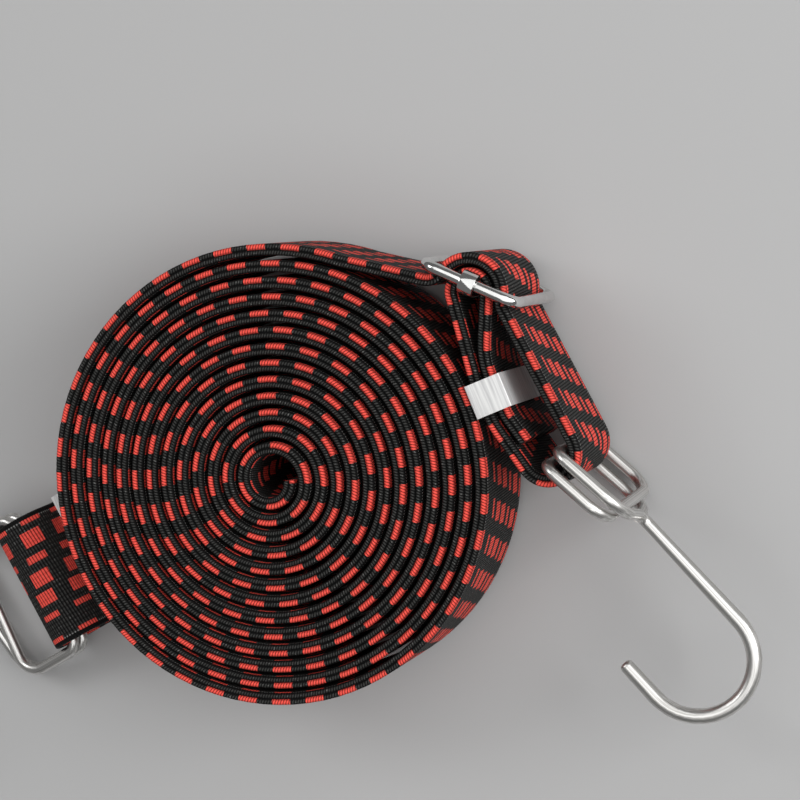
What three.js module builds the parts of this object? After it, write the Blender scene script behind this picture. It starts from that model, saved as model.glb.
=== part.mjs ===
// A flat elastic bungee strap, rolled up for storage and lying on a table, with a wire hook folded into
// each end and a wire slide buckle near the outer end. Millimetres, +Z up, table at z = 0.
//
// Everything on the outer end stands on edge, like the roll, so its routes are drawn in plan (x, y)
// round the axis of the roll. The inner end lies flat, and its route is drawn in (out, z).
import * as THREE from "three";

// Driving dimensions

// Webbing
const STRAP_WIDTH = 36;
const STRAP_THICKNESS = 3.5;
const STRAP_BEVEL = 1; // how far its rounded edges run in from the full width
const LAYER_GAP = 0.3; // between layers that press on each other
const CUT_GAP = 0.3; // between the strap's nodes, where one goes on as the next

// The roll: a spiral that runs out clockwise as seen from above
const COIL_INNER_RADIUS = 5;
const COIL_PITCH = 4.15;
const COIL_TURNS = 12.8;
const COIL_STEPS = 24; // in each turn

// Wire of the hooks and of the buckle frame
const WIRE_DIAMETER = 3;
const WIRE_SIDES = 8;
const EDGE_GAP = 0.5; // from the strap's edge to the wire beside it

// Hooks: an eye wound twice, a shank that swells, and a J
const EYE_LENGTH = 19.5; // from its bars to the wire that crosses to the second turn
const EYE_PITCH = 4.4; // between its two turns
const EYE_CORNER = 3.5; // bend radius at its bars and at the neck
const EYE_CROSSING = 6; // and where the wire crosses to the second turn
const EYE_SWEEP = 8; // and where it sweeps in to the neck
const EYE_SHOULDER = 2.5; // how far the outer corners stand above the crossing wire
const EYE_NECK = 4.2; // how far the neck stands above the crossing wire
const EYE_END = 2.4; // from the shank's axis to the cut end of the wire
const SHANK_LENGTH = 35.4;
const SHANK_SET = 5.6; // degrees that the shank leans to the J's side
const J_DIAMETER = 3.9; // of the wire, at the end of the shank
const J_RADIUS = 14.4;
const J_TIP = 11.3; // straight length at its tip
const FOLD_RADIUS = 6.8; // the strap's centre line round the bars of an eye
const FOLD_SEAT = 1.8; // how far the bars sit beyond the fold's centre

// Slide buckle: a wire frame, and a bar with its ends rolled round the frame's rails
const BUCKLE_CORNER = 3.5;
const BUCKLE_PLAY = 0.9; // from its end bars to the strap round them
const BAR_WIDTH = 4;
const BAR_THICKNESS = 1.2;
const BAR_ROLL = 200; // degrees of each rolled end
const BAR_ROLL_GAP = 0.25;
const BAR_PLAY = 0.6; // from the bar to the strap round it

// Clips: bands round two layers of the strap
const CLIP_LENGTH = 8.6;
const CLIP_WALL = 0.8;
const CLIP_GAP = 0.3;
const CLIP_BEND = 20; // the strap's bend radius beside the outer end's clip
const LOOP_END_BEND = 12; // and before its cut end

// Where the outer end lies, from the axis of the roll
const BUCKLE_AT = [52.2, 50.1];
const BUCKLE_ANGLE = -22.3; // degrees, along its rails
const LOOP_CLIP_AT = [56.8, 22.6];
const LOOP_CLIP_ANGLE = -66.8;
const OUTER_FOLD_AT = [71.4, 8.8];
const HOOK_RIGHT_ANGLE = -40;
const LOOP_CUT_END = [65.8, 11.6];

// Where the inner end lies: straight out under the roll, past its axis at one side
const TAIL_ANGLE = 210;
const TAIL_OFFSET = 8.8;
const TAIL_START = -25; // its covered end, beyond the axis
const TAIL_CUT = 48; // where the flat part ends and the loop's part goes on
const TAIL_RISE_AT = 20; // where it starts to rise to the clip
const TAIL_RISE_END = 46;
const TAIL_RISE_BEND = 60;
const TAIL_GAP = 0.6; // from the roll to the cut end of the tail
const TAIL_CUT_END = 0.6; // from the cut end to the clip
const TAIL_CLIP_BACK = 10.5; // from the clip to the fold's centre
const TAIL_TUCK_BEND = 3.2;
const HOOK_LEFT_GAP = 0.1; // from the start of its J to the table

// Worked out from those
const halfStrap = STRAP_WIDTH / 2;
const wireRadius = WIRE_DIAMETER / 2;
const railReach = halfStrap + EDGE_GAP + wireRadius; // a side wire's axis, from the strap's middle
const layerPitch = STRAP_THICKNESS + LAYER_GAP;
const barRollRadius = wireRadius + BAR_ROLL_GAP + BAR_THICKNESS / 2;
const roundEndBar = wireRadius + BUCKLE_PLAY + STRAP_THICKNESS / 2; // the strap's centre line
const roundMiddleBar = Math.hypot(BAR_WIDTH, BAR_THICKNESS) / 2 + BAR_PLAY + STRAP_THICKNESS / 2;
const buckleReach = roundEndBar + roundMiddleBar + layerPitch; // room for two layers beside the middle bar
const midHeight = railReach + barRollRadius + BAR_THICKNESS / 2; // the rolled bar ends touch the table
const coilRadius = COIL_INNER_RADIUS + COIL_PITCH * COIL_TURNS + STRAP_THICKNESS / 2;
const tailLow = STRAP_THICKNESS / 2;
const tailHigh = tailLow + CLIP_GAP + CLIP_WALL; // the clip's band passes under it
const STEP = Math.PI / 12; // of an arc
const ROUNDING = 1e-9; // of worked-out angles and turns
const rad = THREE.MathUtils.degToRad;
const vec = (x, y, z) => new THREE.Vector3(x, y, z);
const polar = (degrees) => [Math.cos(rad(degrees)), Math.sin(rad(degrees))];
const add = (p, q, k = 1) => [p[0] + q[0] * k, p[1] + q[1] * k];

// Routes and solids

// A belt's route from one point to another round circles in a plane. A bend is [centre, radius], with a
// radius over 0 where the belt turns left and under 0 where it turns right. Each station is a point and
// the belt's heading there.
function beltRoute(start, bends, end) {
  const stops = [[start, 0], ...bends, [end, 0]];
  const headings = stops.slice(1).map(([c, r], i) => {
    const [b, q] = stops[i];
    const away = Math.hypot(c[0] - b[0], c[1] - b[1]);
    return Math.atan2(c[1] - b[1], c[0] - b[0]) - Math.asin((r - q) / away);
  });
  const stations = [{ at: start, heading: headings[0] }];
  bends.forEach(([centre, radius], i) => {
    const side = Math.sign(radius);
    const full = 2 * Math.PI;
    const turn = (((headings[i + 1] - headings[i]) * side) % full + full) % full;
    const steps = Math.max(1, Math.ceil(turn / STEP - ROUNDING));
    for (let k = 0; k <= steps; k++) {
      const heading = headings[i] + (side * turn * k) / steps;
      const at = [centre[0] + radius * Math.sin(heading), centre[1] - radius * Math.cos(heading)];
      stations.push({ at, heading });
    }
  });
  stations.push({ at: end, heading: headings.at(-1) });
  return stations;
}

// Joins rings of points into one closed solid, with its ends capped unless it runs round to its start.
function skin(rings, closed = false) {
  const sides = rings[0].length;
  const index = [];
  const last = closed ? rings.length : rings.length - 1;
  for (let i = 0; i < last; i++)
    for (let k = 0; k < sides; k++) {
      const a = i * sides, b = ((i + 1) % rings.length) * sides, n = (k + 1) % sides;
      index.push(a + k, b + k, b + n, a + k, b + n, a + n);
    }
  const end = (rings.length - 1) * sides;
  if (!closed)
    for (let k = 1; k < sides - 1; k++) index.push(0, k, k + 1, end, end + k + 1, end + k);
  const geometry = new THREE.BufferGeometry().setFromPoints(rings.flat());
  geometry.setIndex(index);
  if (signedVolume(geometry) < 0) geometry.setIndex(index.reverse());
  return geometry;
}

function signedVolume(geometry) {
  const p = [0, 1, 2].map(() => vec());
  const { index, attributes } = geometry;
  let volume = 0;
  for (let i = 0; i < index.count; i += 3) {
    p.forEach((v, k) => v.fromBufferAttribute(attributes.position, index.getX(i + k)));
    volume += p[0].dot(p[1].cross(p[2])) / 6;
  }
  return volume;
}

// A strip along stations in a plane. place turns a point of the plane, and a distance across the strip,
// into a point in space.
function strip(stations, width, thickness, bevel, place) {
  const t = thickness / 2, w = width / 2, b = w - bevel;
  const section = [[-t, -b], [0, -w], [t, -b], [t, b], [0, w], [-t, b]];
  return skin(stations.map(({ at, heading }) => {
    const left = [-Math.sin(heading), Math.cos(heading)];
    return section.map(([a, across]) => place(...add(at, left, a), across));
  }));
}

// Corner points with the corners bent, each to its own radius.
function bent(points, radii) {
  const path = [points[0]];
  for (let i = 1; i < points.length - 1; i++) {
    const radius = radii[i - 1];
    const back = points[i - 1].clone().sub(points[i]).normalize();
    const on = points[i + 1].clone().sub(points[i]).normalize();
    const half = back.angleTo(on) / 2;
    const centre = back.clone().add(on).setLength(radius / Math.sin(half)).add(points[i]);
    const from = back.clone().multiplyScalar(radius / Math.tan(half)).add(points[i]).sub(centre);
    const axis = on.clone().cross(back).normalize();
    const turn = Math.PI - 2 * half;
    const steps = Math.max(1, Math.ceil(turn / (2 * STEP)));
    for (let k = 0; k <= steps; k++)
      path.push(from.clone().applyAxisAngle(axis, (turn * k) / steps).add(centre));
  }
  return [...path, points.at(-1)];
}

// A round wire along a path. Its sections are carried along without twist.
function wire(path, radiusAt, closed = false) {
  const n = path.length;
  const along = path.map((p, i) => {
    const q = closed ? path[(i + 1) % n] : path[Math.min(i + 1, n - 1)];
    const o = closed ? path[(i + n - 1) % n] : path[Math.max(i - 1, 0)];
    return q.clone().sub(p).normalize().add(p.clone().sub(o).normalize()).normalize();
  });
  const side = vec(...(Math.abs(along[0].z) < 0.9 ? [0, 0, 1] : [1, 0, 0]));
  return skin(path.map((p, i) => {
    side.addScaledVector(along[i], -side.dot(along[i])).normalize();
    const up = along[i].clone().cross(side);
    const r = radiusAt(p);
    return Array.from({ length: WIRE_SIDES }, (_, k) => {
      const a = (2 * Math.PI * (k + 0.5)) / WIRE_SIDES;
      return p.clone().addScaledVector(side, r * Math.cos(a)).addScaledVector(up, r * Math.sin(a));
    });
  }), closed);
}

// Looks
const webbing = new THREE.MeshStandardMaterial({ color: 0x1a1a1b, roughness: 0.85, metalness: 0 });
const steel = new THREE.MeshStandardMaterial({ color: 0xb9bab8, roughness: 0.3, metalness: 1 });
const chrome = new THREE.MeshStandardMaterial({ color: 0xd9dad9, roughness: 0.15, metalness: 1 });
const aluminium = new THREE.MeshStandardMaterial({ color: 0xdfe0df, roughness: 0.45, metalness: 1 });

const cord = new THREE.Group();
function part(name, geometry, material, parent = cord) {
  const mesh = new THREE.Mesh(geometry, material);
  mesh.name = name;
  parent.add(mesh);
  return mesh;
}
const onEdge = (x, y, across) => vec(x, y, midHeight + across);
const stretch = (stations, place) =>
  strip(stations, STRAP_WIDTH, STRAP_THICKNESS, STRAP_BEVEL, place);

// The roll
const coilStation = (turn) => {
  const r = COIL_INNER_RADIUS + COIL_PITCH * turn;
  const angle = -2 * Math.PI * turn;
  const slope = Math.atan(COIL_PITCH / (2 * Math.PI * r));
  return { at: [r * Math.cos(angle), r * Math.sin(angle)], heading: angle - Math.PI / 2 + slope };
};

function stripCoil() {
  const whole = Math.floor(COIL_TURNS * COIL_STEPS);
  const turns = Array.from({ length: whole + 1 }, (_, i) => i / COIL_STEPS);
  if (COIL_TURNS - turns.at(-1) > ROUNDING) turns.push(COIL_TURNS);
  return turns.map(coilStation);
}

// The least gap between a turn's outer face and the next turn's inner face, measured on their points.
function leastGap(stations) {
  const face = ({ at, heading }, side) =>
    add(at, [-Math.sin(heading), Math.cos(heading)], (side * STRAP_THICKNESS) / 2);
  let least = Infinity;
  stations.forEach((s, i) => {
    const p = face(s, 1);
    // the next turn is looked for from half a turn on, for a whole turn
    const from = i + COIL_STEPS / 2;
    for (let j = from; j < Math.min(stations.length - 1, from + COIL_STEPS); j++) {
      const a = face(stations[j], -1), b = face(stations[j + 1], -1);
      const d = add(b, a, -1), e = add(p, a, -1);
      const k = THREE.MathUtils.clamp((d[0] * e[0] + d[1] * e[1]) / (d[0] ** 2 + d[1] ** 2), 0, 1);
      least = Math.min(least, Math.hypot(e[0] - d[0] * k, e[1] - d[1] * k));
    }
  });
  return least;
}

const coilRoute = stripCoil();
part("strap_coil", stretch(coilRoute, onEdge), webbing);
console.log("least gap between turns of the roll: " + leastGap(coilRoute).toFixed(2) + " mm");

// The outer end
const rails = polar(BUCKLE_ANGLE);
const railsUp = polar(BUCKLE_ANGLE + 90);
const endBars = [-1, 1].map((k) => add(BUCKLE_AT, rails, k * buckleReach));
const middleBar = add(BUCKLE_AT, railsUp, -barRollRadius);

// From the roll, under and over the buckle's bars, round the hook, through the clip, round the middle bar
// and back through the clip to the cut end.
function stripLead() {
  const down = polar(LOOP_CLIP_ANGLE), across = polar(LOOP_CLIP_ANGLE + 90);
  const beside = (end, layer, bend) =>
    add(add(LOOP_CLIP_AT, down, (end * CLIP_LENGTH) / 2), across, (layer * layerPitch) / 2 + bend);
  const exit = coilRoute.at(-1);
  const start = add(exit.at, [Math.cos(exit.heading), Math.sin(exit.heading)], CUT_GAP);
  return beltRoute(start, [
    [endBars[0], roundEndBar],
    [middleBar, -(roundMiddleBar + layerPitch)],
    [endBars[1], roundEndBar],
    [OUTER_FOLD_AT, -FOLD_RADIUS],
    [beside(1, -1, CLIP_BEND), -CLIP_BEND],
    [beside(-1, -1, CLIP_BEND), -CLIP_BEND],
    [middleBar, -roundMiddleBar],
    [beside(-1, 1, CLIP_BEND), CLIP_BEND],
    [beside(1, 1, LOOP_END_BEND), LOOP_END_BEND],
  ], LOOP_CUT_END);
}
part("strap_lead", stretch(stripLead(), onEdge), webbing);

// A clip lies along x, with the layers' faces towards y.
function clipBand() {
  const inside = [2 * STRAP_THICKNESS + LAYER_GAP + 2 * CLIP_GAP, STRAP_WIDTH + 2 * CLIP_GAP];
  const box = (Path, size) => {
    const [a, b] = size.map((v) => v / 2);
    return new Path().moveTo(-a, -b).lineTo(a, -b).lineTo(a, b).lineTo(-a, b).closePath();
  };
  const outline = box(THREE.Shape, inside.map((v) => v + 2 * CLIP_WALL));
  outline.holes.push(box(THREE.Path, inside));
  const geometry = new THREE.ExtrudeGeometry(outline, { depth: CLIP_LENGTH, bevelEnabled: false });
  // the outline's x and y become y and z, and its depth becomes x
  const turned = new THREE.Matrix4().makeBasis(vec(0, 1, 0), vec(0, 0, 1), vec(1, 0, 0));
  return geometry.translate(0, 0, -CLIP_LENGTH / 2).applyMatrix4(turned);
}
const loopClip = part("loop_clip", clipBand(), aluminium);
loopClip.position.set(...LOOP_CLIP_AT, midHeight);
loopClip.rotation.z = rad(LOOP_CLIP_ANGLE);

// The buckle lies along x in its own group, with its end bars upright.
const buckle = new THREE.Group();
buckle.position.set(...BUCKLE_AT, midHeight);
buckle.rotation.z = rad(BUCKLE_ANGLE);
cord.add(buckle);

function buckleFrame() {
  const x = buckleReach, z = railReach;
  const corners = [vec(0, 0, -z), vec(x, 0, -z), vec(x, 0, z), vec(-x, 0, z), vec(-x, 0, -z), vec(0, 0, -z)];
  return wire(bent(corners, Array(4).fill(BUCKLE_CORNER)).slice(1), () => wireRadius, true);
}
part("buckle_frame", buckleFrame(), chrome, buckle);

// The middle bar is a strip beside the rails, drawn in (y, z), whose ends roll round them.
function buckleBar() {
  const steps = Math.ceil(rad(BAR_ROLL) / STEP);
  const roll = (end) => Array.from({ length: steps + 1 }, (_, i) => {
    const a = Math.PI - (rad(BAR_ROLL) * i) / steps;
    const at = [barRollRadius * Math.cos(a), end * (railReach + barRollRadius * Math.sin(a))];
    return { at, heading: Math.PI / 2 + end * (a - Math.PI) };
  });
  const stations = [...roll(-1).reverse(), ...roll(1)];
  return strip(stations, BAR_WIDTH, BAR_THICKNESS, 0, (y, z, across) => vec(across, y, z));
}
part("buckle_bar", buckleBar(), chrome, buckle);

// Hooks

// A hook lies along x from the middle of its eye's bars, with its J towards -y and its bars along z.
function hook() {
  const near = railReach, far = -railReach;
  const first = EYE_PITCH / 2, second = -EYE_PITCH / 2;
  const shoulder = EYE_LENGTH + EYE_SHOULDER, neck = EYE_LENGTH + EYE_NECK;
  const [c, s] = polar(-SHANK_SET);
  const fromNeck = (along, out) => vec(neck + along * c + out * s, along * s - out * c, 0);
  const corners = [
    fromNeck(SHANK_LENGTH - J_TIP, 2 * J_RADIUS), fromNeck(SHANK_LENGTH + J_RADIUS, 2 * J_RADIUS),
    fromNeck(SHANK_LENGTH + J_RADIUS, 0), vec(neck, 0, 0),
    vec(shoulder, first, near), vec(0, first, near), vec(0, first, far), vec(EYE_LENGTH, first, far),
    vec(EYE_LENGTH, second, near), vec(0, second, near), vec(0, second, far), vec(shoulder, second, far),
    vec(neck, second / 2, -EYE_END),
  ];
  const bends = [
    J_RADIUS, J_RADIUS, EYE_CORNER, EYE_SWEEP, EYE_CORNER, EYE_CORNER,
    EYE_CROSSING, EYE_CROSSING, EYE_CORNER, EYE_CORNER, EYE_SWEEP,
  ];
  const swell = (p) => THREE.MathUtils.clamp((p.x - neck) / SHANK_LENGTH, 0, 1);
  return wire(bent(corners, bends), (p) => THREE.MathUtils.lerp(wireRadius, J_DIAMETER / 2, swell(p)));
}

const outerBars = add(OUTER_FOLD_AT, polar(HOOK_RIGHT_ANGLE), FOLD_SEAT);
const hookRight = part("hook_right", hook(), steel);
hookRight.position.set(...outerBars, midHeight);
hookRight.rotation.z = rad(HOOK_RIGHT_ANGLE);

// The inner end

// Its own group lies along x, from the point that is nearest to the axis of the roll.
const tail = new THREE.Group();
tail.position.set(...polar(TAIL_ANGLE - 90).map((v) => v * TAIL_OFFSET), 0);
tail.rotation.z = rad(TAIL_ANGLE);
cord.add(tail);
const flat = (out, z, across) => vec(out, across, z);
const tailCutEnd = coilRadius + TAIL_GAP;
const tailClipEnd = tailCutEnd + TAIL_CUT_END + CLIP_LENGTH;
const tailFold = [tailClipEnd + TAIL_CLIP_BACK, tailHigh + FOLD_RADIUS];

const tailRise = [
  [[TAIL_RISE_AT, tailLow + TAIL_RISE_BEND], TAIL_RISE_BEND],
  [[TAIL_RISE_END, tailHigh - TAIL_RISE_BEND], -TAIL_RISE_BEND],
];
const stripTail = beltRoute([TAIL_START, tailLow], tailRise, [TAIL_CUT, tailHigh]);
part("strap_tail", stretch(stripTail, flat), webbing, tail);

const tailReturn = tailHigh + layerPitch;
const stripTailLoop = beltRoute([TAIL_CUT + CUT_GAP, tailHigh], [
  [tailFold, FOLD_RADIUS],
  [[tailClipEnd, tailReturn + TAIL_TUCK_BEND], -TAIL_TUCK_BEND],
], [tailCutEnd, tailReturn]);
part("strap_tail_loop", stretch(stripTailLoop, flat), webbing, tail);

const tailClip = part("tail_clip", clipBand(), aluminium, tail);
tailClip.position.set(tailClipEnd - CLIP_LENGTH / 2, 0, tailHigh + layerPitch / 2);
tailClip.rotation.x = Math.PI / 2;

// The left hook hangs down from its bars until the end of its shank lies on the table.
function leftPitch() {
  const along = EYE_LENGTH + EYE_NECK + SHANK_LENGTH * Math.cos(rad(SHANK_SET));
  const up = SHANK_LENGTH * Math.sin(rad(SHANK_SET));
  const drop = tailFold[1] - J_DIAMETER / 2 - HOOK_LEFT_GAP;
  return Math.atan2(up, along) + Math.asin(drop / Math.hypot(along, up));
}
const hookLeft = part("hook_left", hook(), steel, tail);
hookLeft.position.set(tailFold[0] + FOLD_SEAT, 0, tailFold[1]);
hookLeft.rotation.set(-Math.PI / 2, leftPitch(), 0, "YXZ");

// The part's frame

// The origin is the middle of the part's foot.
cord.updateMatrixWorld(true);
const bounds = new THREE.Box3().setFromObject(cord, true);
const middle = bounds.getCenter(vec());
cord.children.forEach((child) => child.position.sub(vec(middle.x, middle.y, bounds.min.z)));
cord.updateMatrixWorld(true);

export default cord;
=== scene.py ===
"""A flat bungee strap, rolled up on edge with a wire hook in each end, dressed over its CAD frame."""

from __future__ import annotations

import logging
import math
from collections.abc import Callable, Sequence
from dataclasses import dataclass, field
from enum import Enum

import bpy
from mathutils import Matrix, Vector


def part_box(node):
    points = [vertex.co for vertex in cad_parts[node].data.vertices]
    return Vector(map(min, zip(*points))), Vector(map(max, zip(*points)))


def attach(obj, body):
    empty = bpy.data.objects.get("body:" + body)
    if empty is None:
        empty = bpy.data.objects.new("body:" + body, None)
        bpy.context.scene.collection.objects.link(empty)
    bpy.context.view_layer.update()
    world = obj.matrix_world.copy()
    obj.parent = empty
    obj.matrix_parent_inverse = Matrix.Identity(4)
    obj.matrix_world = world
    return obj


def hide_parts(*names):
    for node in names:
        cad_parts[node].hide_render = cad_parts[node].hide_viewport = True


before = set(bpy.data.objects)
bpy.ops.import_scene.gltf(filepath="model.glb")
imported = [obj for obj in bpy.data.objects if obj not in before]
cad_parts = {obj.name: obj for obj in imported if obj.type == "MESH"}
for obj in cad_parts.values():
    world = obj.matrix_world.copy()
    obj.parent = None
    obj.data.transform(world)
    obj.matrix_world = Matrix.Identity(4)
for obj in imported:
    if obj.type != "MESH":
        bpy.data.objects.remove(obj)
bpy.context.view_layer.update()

MM = 0.001
LOG = logging.getLogger("bungee_strap")
Piece = bpy.types.Object
Material = bpy.types.Material
Socket = bpy.types.NodeSocket
Colour = tuple[float, ...]


class Slot(Enum):
    """The record's material slots."""

    WEBBING = "webbing"
    HOOK = "hook_steel"
    BUCKLE = "buckle_chrome"
    CLIP = "clip_aluminium"


class Body(Enum):
    """The CAD bodies that pieces ride on."""

    STRAP = "strap"
    FRAME = "frame"
    BAR = "bar"
    RIGHT_HOOK = "right_hook"
    LEFT_HOOK = "left_hook"


# Shader nodes
Source = Socket | float | tuple
Sources = dict[str | int, Source]  # by an input's name or index


@dataclass(frozen=True)
class Grain:
    """A noise and its contrast."""

    scale: float
    detail: float
    low: float  # the noise that counts as 0
    high: float  # and the noise that counts as 1


SMEAR = Grain(220.0, 4.0, 0.35, 0.7)
SCRATCH = Grain(2600.0, 2.0, 0.4, 0.7)
DRAWN = Grain(5.0, 3.0, 0.38, 0.62)
BRUSHED = Grain(1800.0, 3.0, 0.38, 0.66)
BRUSH_STRETCH = 25.0


@dataclass(frozen=True)
class Board:
    """A node tree that nodes are laid on, each with its sources."""

    tree: bpy.types.NodeTree  # a material's or a group's

    def node(self, kind: str, sources: Sources | None = None, **settings: object) -> bpy.types.Node:
        """Adds a node.

        Args:
            kind: The node's type, such as "ShaderNodeMath".
            sources: A value or another node's output for each input that is set, by name or index.
            settings: The node's own properties.

        Returns:
            The new node.
        """
        made = self.tree.nodes.new(kind)
        for name, value in settings.items():
            setattr(made, name, value)
        for key, source in (sources or {}).items():
            if isinstance(source, Socket):
                self.tree.links.new(source, made.inputs[key])
            else:
                made.inputs[key].default_value = source
        return made

    def math(self, operation: str, a: Source, b: Source = 0.0, c: Source = 0.0) -> Socket:
        """Adds a Math node and returns its output."""
        return self.node("ShaderNodeMath", {0: a, 1: b, 2: c}, operation=operation).outputs[0]

    def mix(self, factor: Source, a: Source, b: Source) -> Socket:
        """Adds a Mix node for values and returns its output."""
        return self.node("ShaderNodeMix", {"Factor": factor, 2: a, 3: b}).outputs[0]

    def blend(self, factor: Source, a: Source, b: Source) -> Socket:
        """Adds a Mix node for colours and returns its output."""
        return self.node("ShaderNodeMix", {"Factor": factor, 6: a, 7: b}, data_type="RGBA").outputs[2]

    def remap(
        self, value: Source, low: float, high: float, to_low: float = 0.0, to_high: float = 1.0
    ) -> Socket:
        """Adds a clamped Map Range node and returns its output."""
        sources = {0: value, 1: low, 2: high, 3: to_low, 4: to_high}
        return self.node("ShaderNodeMapRange", sources).outputs[0]

    def grain(self, vector: Source, grain: Grain, strength: float = 1.0) -> Socket:
        """Adds a Noise Texture with its contrast, and returns a mask from 0 to the strength."""
        sources = {"Vector": vector, "Scale": grain.scale, "Detail": grain.detail}
        noise = self.node("ShaderNodeTexNoise", sources).outputs[0]
        return self.remap(noise, grain.low, grain.high, 0.0, strength)

    def yarn(self, turns: Source) -> Socket:
        """The height of round yarns that lie side by side.

        Args:
            turns: A coordinate that grows by one from each yarn to the next.

        Returns:
            A value from 0 between two yarns to 1 on top of one.
        """
        across = self.math("MULTIPLY_ADD", self.math("FRACT", turns), 2.0, -1.0)
        return self.math("SQRT", self.math("SUBTRACT", 1.0, self.math("MULTIPLY", across, across)))

    def surface(
        self, colour: Source, roughness: Source, relief: Source, strength: float, depth: float
    ) -> bpy.types.Node:
        """Links a finish to the material's shader.

        Args:
            colour: The base colour.
            roughness: The roughness.
            relief: The height that the bump follows.
            strength: The bump's strength.
            depth: The bump's depth.

        Returns:
            The shader, for what is the same all over.
        """
        shader = self.tree.nodes["Principled BSDF"]
        bump = self.node("ShaderNodeBump", {"Height": relief, "Strength": strength, "Distance": depth})
        links = {"Base Color": colour, "Roughness": roughness, "Normal": bump.outputs[0]}
        for label, source in links.items():
            self.tree.links.new(source, shader.inputs[label])
        return shader


def handling_group() -> bpy.types.NodeTree:
    """Builds the marks that handling leaves on bright metal.

    Returns:
        A group that takes a position and gives a smear mask and fine scratches.
    """
    group = bpy.data.node_groups.new("Handling marks", "ShaderNodeTree")
    group.interface.new_socket("Position", in_out="INPUT", socket_type="NodeSocketVector")
    for label in ("Smear", "Scratch"):
        group.interface.new_socket(label, in_out="OUTPUT", socket_type="NodeSocketFloat")
    board = Board(group)
    place = board.node("NodeGroupInput").outputs[0]
    board.node("NodeGroupOutput", {0: board.grain(place, SMEAR), 1: board.grain(place, SCRATCH)})
    return group


@dataclass(frozen=True)
class DashColumn:
    """A column of red dashes that runs along the webbing."""

    centre: float  # across, from the strap's middle to its upper edge
    width: float


@dataclass(frozen=True)
class Weave:
    """The strap's "weave" attribute, laid out on a board."""

    along: Socket  # distance along the strap
    around: Socket  # from the middle of a face round to the middle of an edge, with its sign
    side: Socket  # over 0 on the outer half of the strap, under 0 on the inner
    off_middle: Socket  # around, without its sign
    bead: Socket  # 1 on the beads


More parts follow.
